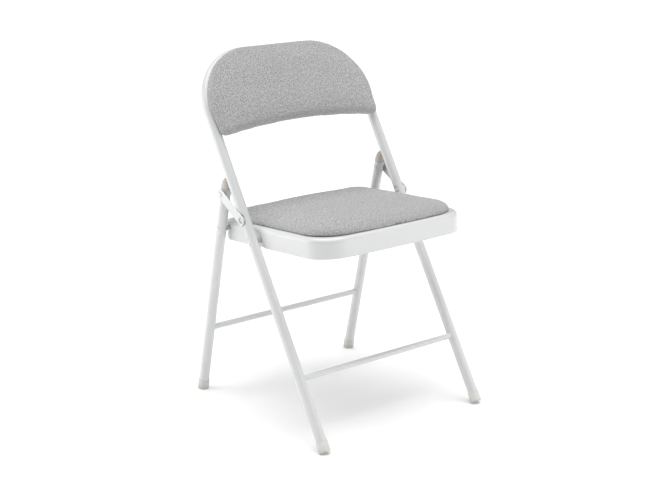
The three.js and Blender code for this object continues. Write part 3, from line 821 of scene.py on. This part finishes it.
def corner(x, y, radius, start, end, count=24):
    turn = np.radians(np.linspace(start, end, count))
    return np.stack([x + radius * np.cos(turn), y + radius * np.sin(turn)], axis=1)


def seat_plan(inset=0.0, big=FRONT_CORNER_R, small=REAR_CORNER_R):
    """The pan's outline, anticlockwise from the right rear. The front edge bows out a little."""
    half = PAN_HALF_WIDTH - inset
    front_y, rear_y = PAN_FRONT + inset, PAN_REAR - inset
    line = np.vstack([
        corner(half - small, rear_y - small, small, 0, 90),
        corner(small - half, rear_y - small, small, 90, 180),
        corner(big - half, front_y + big, big, 180, 270),
        corner(half - big, front_y + big, big, 270, 360),
    ])
    line = resampled(line, PLAN_STEP)
    lean = eased(1 - (line[:, 1] - front_y) / (1.6 * big))
    line[:, 1] += FRONT_BOW * lean * (line[:, 0] / half) ** 2
    return resampled(line, PLAN_STEP)


# %% Seat pan
POCKET_TOP = PAN_TOP - 11 * MM
SHOULDER_R = 9.5 * MM
LIP_DROP = 0.6 * MM
pockets = [  # y, z, slope of the tube and half width
    (0.0, 0.0, SEAT_TILT - FRONT_LEAN, 10 * MM),
    (leg_in_seat.y, leg_in_seat.z, SEAT_TILT + REAR_LEAN, 12 * MM),
]


def pocketed(points):
    """Presses the four pockets into rings of the pan's wall."""
    y, z = points[..., 1], points[..., 2]
    depth = np.zeros(y.shape)
    for place_y, place_z, slope, half in pockets:
        across = (y - place_y) * math.cos(slope) + (z - place_z) * math.sin(slope)
        side_share = 1 - eased((np.abs(across) - half + 0.8 * MM) / (2.6 * MM))
        top_share = 1 - eased((z - POCKET_TOP + 1 * MM) / (5 * MM))
        depth = np.maximum(depth, side_share * top_share)
    on_wall = eased((np.abs(points[..., 0]) - 188 * MM) / (3 * MM))
    points[..., 0] -= np.sign(points[..., 0]) * POCKET_DEPTH * depth * on_wall
    return points


plan = seat_plan()
plan_normal = outward_normals(plan)
print("seat plan", len(plan), "points")


def plan_ring(inset, z, line=plan, normal=plan_normal):
    flat = line - normal * inset
    return np.column_stack([flat, np.full(len(line), z)])


def towards_middle(ring, shares):
    """Copies of a level ring, shrunk to these shares of its size."""
    centre = ring.mean(axis=0)
    return [centre + (ring - centre) * [s, s, 1] for s in shares]


turns = np.linspace(0, np.pi / 2, 9)
shrinks = [0.06, 0.3, 0.55, 0.75, 0.88, 0.96, 1.0]
outer_shoulder = [
    plan_ring(SHOULDER_R * (1 - math.sin(a)), PAN_TOP - SHOULDER_R * (1 - math.cos(a))) for a in turns
]
wall_levels = np.linspace(PAN_TOP - SHOULDER_R, PAN_BOTTOM + LIP_DROP, 18)[1:]
outer_wall = [plan_ring(0, z) for z in wall_levels]
lip = [plan_ring(PAN_STEEL / 2 * (1 - math.cos(a)), PAN_BOTTOM + LIP_DROP * (1 - math.sin(a)))
       for a in np.linspace(0, np.pi, 7)[1:]]
inner_wall = [plan_ring(PAN_STEEL, z) for z in wall_levels[::-1][1:]]
inside_r = SHOULDER_R - PAN_STEEL
inner_shoulder = [
    plan_ring(PAN_STEEL + inside_r * (1 - math.cos(a)), PAN_TOP - SHOULDER_R + inside_r * math.sin(a))
    for a in turns
]
top_plate = towards_middle(plan_ring(SHOULDER_R, PAN_TOP), shrinks)
under_plate = towards_middle(plan_ring(SHOULDER_R, PAN_TOP - PAN_STEEL), shrinks)
pan_rings = top_plate[:-1] + outer_shoulder + outer_wall + lip + inner_wall
pan_rings += inner_shoulder + under_plate[::-1][1:]
pressed_pan = new_piece("pressed_pan", *skin(pocketed(np.array(pan_rings))), SEAT, powder_coat, 50)
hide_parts("seat_pan")
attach(pressed_pan, "seat")
print("pressed pan", len(pressed_pan.data.polygons), "faces")

# %% [markdown]
# A stuffed pad is foam held down by cloth. Its shape comes from the pull of the cloth, so it is
# simulated: a block a little smaller than the pad is remeshed into even cells and given to the Cloth
# solver with pressure inside and no gravity. What lies on the board is pinned. How far a point may move
# is capped, so that the pad swells where foam would and keeps its outline.


# %% Stuffed pads
CELL = 4.5 * MM
PRESSURE = 4.0
SWELL = 7 * MM
STEPS = 20
EVENING = 40


def stuffed(name, points, faces, held):
    """Simulates a pad in its part's own axes and returns the object. held says which points are pinned."""
    mesh = bpy.data.meshes.new(name)
    mesh.from_pydata(np.asarray(points).tolist(), [], faces)
    pad = bpy.data.objects.new(name, mesh)
    bpy.context.collection.objects.link(pad)
    settle(pad)
    remesh = pad.modifiers.new("cells", "REMESH")
    remesh.mode = "VOXEL"
    remesh.voxel_size = CELL
    relax = pad.modifiers.new("relax", "SMOOTH")
    relax.factor = 0.5
    relax.iterations = 4
    keep_result(pad)
    before = coordinates(pad)
    pins = pad.vertex_groups.new(name="held")
    pins.add([int(i) for i in np.flatnonzero(held(before))], 1.0, "REPLACE")
    cloth = pad.modifiers.new("cloth", "CLOTH")
    cloth.settings.use_pressure = True
    cloth.settings.uniform_pressure_force = PRESSURE
    cloth.settings.tension_stiffness = 12
    cloth.settings.compression_stiffness = 12
    cloth.settings.bending_stiffness = 0.6
    cloth.settings.vertex_group_mass = "held"
    cloth.settings.effector_weights.gravity = 0
    scene = bpy.context.scene
    for step in range(1, STEPS + 1):
        scene.frame_set(step)
    keep_result(pad)
    moved = coordinates(pad) - before
    reach = np.linalg.norm(moved, axis=1)
    share = np.minimum(1, SWELL / np.maximum(reach, 1e-9))
    print(name, "swells by up to", round(float(reach.max()) / MM, 1), "mm, capped at", SWELL / MM)
    place(pad, before + evened(pad, moved * share[:, None], EVENING))
    scene.frame_set(1)
    pad.data.shade_smooth()
    return pad


def evened(pad, moved, rounds):
    """Averages each point's movement with its neighbours', so that fine wrinkles go and the swell stays."""
    ends = np.empty(len(pad.data.edges) * 2, dtype=int)
    pad.data.edges.foreach_get("vertices", ends)
    ends = ends.reshape(-1, 2)
    count = np.bincount(ends.ravel(), minlength=len(moved))[:, None]
    for _ in range(rounds):
        total = np.zeros_like(moved)
        np.add.at(total, ends[:, 0], moved[ends[:, 1]])
        np.add.at(total, ends[:, 1], moved[ends[:, 0]])
        moved = 0.5 * moved + 0.5 * total / count
    return moved


def keep_result(pad):
    """Swaps the object's mesh for what its modifiers make of it."""
    graph = bpy.context.evaluated_depsgraph_get()
    graph.update()
    done = bpy.data.meshes.new_from_object(pad.evaluated_get(graph))
    pad.modifiers.clear()
    pad.data = done


def coordinates(pad):
    flat = np.empty(len(pad.data.vertices) * 3)
    pad.data.vertices.foreach_get("co", flat)
    return flat.reshape(-1, 3)


def place(pad, points):
    pad.data.vertices.foreach_set("co", np.asarray(points, dtype=float).ravel())
    pad.data.update()


def lay_cloth(pad, across, along, up, top):
    """Writes where each point lies in the flat cloth, which is pulled outwards over the pad's edge."""
    points = coordinates(pad)
    normal = np.empty(len(points) * 3)
    pad.data.vertex_normals.foreach_get("vector", normal)
    normal = normal.reshape(-1, 3)
    drop = np.maximum(0, top - points @ up)
    flat = np.zeros_like(points)
    for column, axis in enumerate((across, along)):
        flat[:, column] = points @ axis + normal @ axis * drop
    layer = pad.data.attributes.new("cloth", "FLOAT_VECTOR", "POINT")
    layer.data.foreach_set("vector", flat.ravel())


def finish_pad(pad, matrix, finish, body, node):
    smooth = pad.modifiers.new("finer", "SUBSURF")
    smooth.levels = smooth.render_levels = 1
    keep_result(pad)
    pad.data.shade_smooth()
    pad.data.transform(matrix)
    pad.data.materials.clear()
    pad.data.materials.append(finish)
    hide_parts(node)
    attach(pad, body)
    print(pad.name, len(pad.data.polygons), "faces")


X_AXIS, Y_AXIS, Z_AXIS = np.eye(3)

# %% [markdown]
# The seat pad follows the plan of the pan with rounder corners and sits a little inside its shoulder. It
# has a full roll round its edge, and the cloth pulls its sides a little lower than its middle. Its board
# is hidden inside.

# %% Seat pad
PAD_BOTTOM = PAN_TOP + 0.3 * MM
PAD_INSET = 6.5 * MM
PAD_HIGH = 50 * MM
PAD_ROLL = 17 * MM
PAD_FRONT_R = 70 * MM
PAD_REAR_R = 50 * MM
PAD_NARROWER = 0.99
PAD_BACKWARD = 1.5 * MM
SIDE_DROP = 3 * MM
CLOTH_TOP = 52 * MM
pad_line = seat_plan(PAD_INSET, PAD_FRONT_R, PAD_REAR_R) * [PAD_NARROWER, 1.0]
pad_line[:, 1] += PAD_BACKWARD * eased((pad_line[:, 1] - PAN_FRONT) / (PAN_REAR - PAN_FRONT))
pad_normal = outward_normals(pad_line)


def pad_ring(inset, z):
    return plan_ring(inset, z, pad_line, pad_normal)


pad_rings = towards_middle(pad_ring(3 * MM, PAD_BOTTOM), (0.2, 0.5, 0.8))
pad_rings += [pad_ring(2 * MM, PAD_BOTTOM), pad_ring(0.5 * MM, PAD_BOTTOM + 1 * MM)]
pad_rings += [
    pad_ring(PAD_ROLL * (1 - math.cos(a)), PAD_HIGH - PAD_ROLL + PAD_ROLL * math.sin(a))
    for a in np.linspace(0, np.pi / 2, 10)
]
pad_rings += towards_middle(pad_rings[-1], (0.8, 0.5, 0.2))
seat_pad = stuffed("seat_pad", *skin(pad_rings), lambda p: p[:, 2] < PAD_BOTTOM + 2.5 * MM)
crowned = coordinates(seat_pad)
share = np.clip((crowned[:, 2] - PAD_BOTTOM) / (PAD_HIGH - PAD_BOTTOM), 0, 1)
crowned[:, 2] -= SIDE_DROP * share * (crowned[:, 0] / PAN_HALF_WIDTH) ** 4
place(seat_pad, crowned)
lay_cloth(seat_pad, X_AXIS, Y_AXIS, Z_AXIS, CLOTH_TOP)
finish_pad(seat_pad, SEAT, melange, "seat", "seat_cushion")

BOARD_INSET = 26 * MM
board_line = seat_plan(BOARD_INSET, 40 * MM, 30 * MM)
board_normal = outward_normals(board_line)
board_rings = [plan_ring(i * MM, PAD_BOTTOM + z * MM, board_line, board_normal)
               for i, z in ((0.6, 0.4), (0, 1), (0, 7.4), (0.6, 8))]
under_board = new_piece("under_board", *skin(board_rings), SEAT, plywood)
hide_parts("seat_board")
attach(under_board, "seat")

# %% [markdown]
# The backrest pad sits against the front of the arch and hides most of it. It is drawn in the plane of
# the arch: across, and up along the tube. Its lower edge is arched, and there the cloth is gathered over
# the board, which leaves a few short tucks.

# %% Backrest pad
BACK_HALF = 219 * MM
BACK_TOP = 889 * MM
BACK_LOW = 688 * MM
BACK_ARCH = 15 * MM
BACK_CORNER_R = 138 * MM
BACK_LOW_R = 15 * MM
BACK_TAPER = 5 * MM


def back_plan(inset, count=None):
    """The pad's outline as (across, along the tube), anticlockwise seen from behind."""
    half, top, low = BACK_HALF - inset, BACK_TOP - inset, BACK_LOW + inset
    big = BACK_CORNER_R - inset
    small = max(BACK_LOW_R - inset, 3 * MM)
    low_half = half - BACK_TAPER
    parts = [
        corner(half - big, top - big, big, 0, 90),
        corner(big - half, top - big, big, 90, 180),
        corner(small - low_half, low + small, small, 180, 265, 12),
    ]
    across = np.linspace(small - low_half, low_half - small, 40)[1:-1]
    arch = low + BACK_ARCH * (1 - (across / (low_half - small)) ** 2)
    parts.append(np.stack([across, arch], axis=1))
    parts.append(corner(low_half - small, low + small, small, 275, 360, 12))
    return resampled(np.vstack(parts), 3 * MM, count)


back_line = back_plan(0)
back_normal = outward_normals(back_line)
COVER_INSET = 30.5 * MM
cover_line = back_plan(COVER_INSET, len(back_line))


def back_ring(inset, n, scale=1.0):
    """A ring of the backrest: inset from its outline, n behind the plane of the tube."""
    flat = cover_line if inset >= COVER_INSET else back_line - back_normal * inset
    centre = flat.mean(axis=0)
    flat = centre + (flat - centre) * scale
    return np.column_stack([flat[:, 0], np.full(len(flat), n), flat[:, 1]])


BACK_SHUT = -11.05 * MM
BACK_FRONT = -33 * MM
BACK_ROLL = 13 * MM
BACK_EDGE = 0.6 * MM
back_rings = [back_ring(COVER_INSET, BACK_SHUT, s) for s in (0.2, 0.6, 1.0)]
back_rings += [
    back_ring(inset, BACK_SHUT - forward)
    for inset, forward in ((2 * MM, 0), (0.8 * MM, 1 * MM), (BACK_EDGE, 4 * MM))
]
back_rings += [
    back_ring(BACK_EDGE + BACK_ROLL * (1 - math.cos(a)), BACK_FRONT + BACK_ROLL - BACK_ROLL * math.sin(a))
    for a in np.linspace(0, np.pi / 2, 8)
]
back_rings += [back_ring(BACK_EDGE + BACK_ROLL, BACK_FRONT, s) for s in (0.8, 0.5, 0.2)]
back_pad = stuffed("back_pad", *skin(back_rings), lambda p: p[:, 1] > BACK_SHUT - 3 * MM)
TUCKS = (-54 * MM, -43 * MM, -31 * MM, -21 * MM)
TUCK_WIDTH = 2.6 * MM
TUCK_LENGTH = 15 * MM
TUCK_DEPTH = 1.6 * MM
BACK_CLOTH_TOP = 34 * MM
tucked = coordinates(back_pad)
above_edge = tucked[:, 2] - BACK_LOW - BACK_ARCH
pull = np.clip(1 - above_edge / TUCK_LENGTH, 0, 1) * (tucked[:, 1] < BACK_SHUT - 4 * MM)
for x in TUCKS:
    groove = np.exp(-((tucked[:, 0] - x) / TUCK_WIDTH) ** 2)
    tucked[:, 1] += TUCK_DEPTH * groove * pull
place(back_pad, tucked)
lay_cloth(back_pad, X_AXIS, Z_AXIS, -Y_AXIS, BACK_CLOTH_TOP)
finish_pad(back_pad, FRONT, melange, "front_frame", "backrest_cushion")

board_rings = [back_ring(i * MM, n * MM) for i, n in ((7, -11.6), (6, -12.4), (6, -16.5), (7, -17.2))]
back_board = new_piece("back_board", *skin(board_rings), FRONT, plywood)
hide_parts("backrest_board")
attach(back_board, "front_frame")

# %% [markdown]
# Behind the board a thin cloth hides the raw edge of the padding. It is stapled on all round, so it is
# pulled flat. The staples are copies of one short wire, set out along a line just inside its edge.

# %% Dust cover and its staples
COVER_SHARES = (0.15, 0.4, 0.65, 0.85, 1.0)
cover_front = [back_ring(COVER_INSET, -11.0 * MM, s) for s in COVER_SHARES]
cover_back = [back_ring(COVER_INSET, -10.5 * MM, s) for s in COVER_SHARES[::-1]]
dust_cover = new_piece("dust_cover", *skin(cover_front + cover_back), FRONT, backing, 60)
flat_cover = coordinates(dust_cover) @ np.array(FRONT.to_3x3())
lie = dust_cover.data.attributes.new("cloth", "FLOAT_VECTOR", "POINT")
in_cloth = np.column_stack([flat_cover[:, 0], flat_cover[:, 2], np.zeros(len(flat_cover))])
lie.data.foreach_set("vector", in_cloth.ravel())
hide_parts("backrest_dust_cover")
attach(dust_cover, "front_frame")

STAPLE_INSET = 4 * MM
STAPLE_STEP = 42 * MM
STAPLE_LEVEL = -10.3 * MM
staple_sizes = {"Wire": 0.45 * MM, "Length": 10 * MM, "Finish": zinc_plate}
staple_tree, g, size = new_tree("staple", ["Wire", "Length", "Finish"])
crown = bar(g, size["Wire"], size["Length"] * 0.5, size["Length"] * -0.5, 10)
set_out(g, size["Geometry"], crown, size["Finish"])
staple_line = resampled(back_plan(COVER_INSET + STAPLE_INSET), STAPLE_STEP)
runs = np.roll(staple_line, -1, axis=0) - np.roll(staple_line, 1, axis=0)
staple_spots = [
    ((x, STAPLE_LEVEL, z), (dx, 0, dz)) for (x, z), (dx, dz) in zip(staple_line.tolist(), runs.tolist())
]
copies("staples", staple_tree, staple_spots, FRONT, staple_sizes, "front_frame")

# %% [markdown]
# Eight screws hold the boards: four go through the front tube into the backrest, and four come up through
# the plate of the pan into the seat. They are the rivet tree again, with a plain tip for a tail.


# %% Screws
def screw_sizes(head_level, tip_level, head):
    return {
        "Head Radius": head, "Head Height": 2.6 * MM, "Head Level": head_level, "Shank Radius": 1.75 * MM,
        "Tail Radius": 1.75 * MM, "Tail Height": 0.4 * MM, "Tail Level": tip_level, "Finish": zinc_plate,
    }


HEAD_GAP = 0.3 * MM
back_screws = ((HALF_TRACK - 2 * MM, 750 * MM), (72 * MM, ARCH_TOP - 2 * MM))
back_spots = [((side * x, 0, z), (0, 1, 0)) for x, z in back_screws for side in SIDES.values()]
back_sizes = screw_sizes(TUBE_R + HEAD_GAP, -15.5 * MM, 4.6 * MM)
copies("backrest_screws", rivet_tree, back_spots, FRONT, back_sizes, "front_frame",
       [f"backrest_screw_{i}" for i in range(1, 5)])
seat_spots = [
    ((x * MM, y * MM, PAN_TOP - PAN_STEEL), (0, 0, -1)) for x in (-130, 130) for y in (-150, 80)
]
copies("seat_screws", rivet_tree, seat_spots, SEAT, screw_sizes(HEAD_GAP, -7.0 * MM, 4.4 * MM),
       "seat", [f"seat_screw_{i}" for i in range(1, 5)])

# %% [markdown]
# The bushes between the pan and the tubes and the stiffener under the pan are plain enough to stay as they
# were packed. They only get their finish.

# %% CAD pieces that keep their shape
kept = {
    bush_plastic: both("front_spacer", "rear_spacer"),
    powder_coat: ["seat_stiffener"],
}
for finish, nodes in kept.items():
    for node in nodes:
        frame["nodes"][node].material_slots[0].material = finish

# %% [markdown]
# The studio has a wide floor that is brighter than anything on it, one very soft light overhead and
# a large soft panel on either side of the view, which the paint reflects.

# %% Studio
FLOOR_REACH = 30
WORLD_LIGHT = 0.13
SKY_ANGLE = math.radians(70)
floor_mesh = bpy.data.meshes.new("studio_floor")
floor_corners = [(x * FLOOR_REACH, y * FLOOR_REACH, 0) for x, y in ((-1, -1), (1, -1), (1, 1), (-1, 1))]
floor_mesh.from_pydata(floor_corners, [], [(0, 1, 2, 3)])
floor = bpy.data.objects.new("studio_floor", floor_mesh)
bpy.context.collection.objects.link(floor)
floor_finish, g, at = new_finish("floor_finish")
surface(
    g, {"Base Color": grey(0.9), "Roughness": 0.9, "Emission Color": grey(1.0), "Emission Strength": 0.12}
)
floor_mesh.materials.append(floor_finish)

world = bpy.data.worlds.new("studio")
world.use_nodes = True
world.node_tree.nodes["Background"].inputs["Color"].default_value = (1, 1, 1, 1)
world.node_tree.nodes["Background"].inputs["Strength"].default_value = WORLD_LIGHT
bpy.context.scene.world = world


def panel(name, place_at, aim, width, height, power):
    light = bpy.data.lights.new(name, "AREA")
    light.shape = "RECTANGLE"
    light.size, light.size_y = width, height
    light.energy = power
    holder = bpy.data.objects.new(name, light)
    holder.location = place_at
    holder.visible_camera = False
    holder.rotation_euler = (Vector(aim) - Vector(place_at)).to_track_quat("-Z", "Y").to_euler()
    bpy.context.collection.objects.link(holder)


panel("left_panel", (-1.9, 1.5, 0.9), (0, 0, 0.45), 1.6, 1.8, 21)
panel("right_panel", (1.6, -2.2, 0.9), (0, 0, 0.45), 1.8, 1.8, 15)
overhead = bpy.data.lights.new("overhead", "SUN")
overhead.energy = 3.3
overhead.angle = SKY_ANGLE
overhead_holder = bpy.data.objects.new("overhead", overhead)
overhead_holder.rotation_euler = (math.radians(2), 0, 0)
bpy.context.collection.objects.link(overhead_holder)
bpy.context.scene.view_settings.view_transform = "Standard"
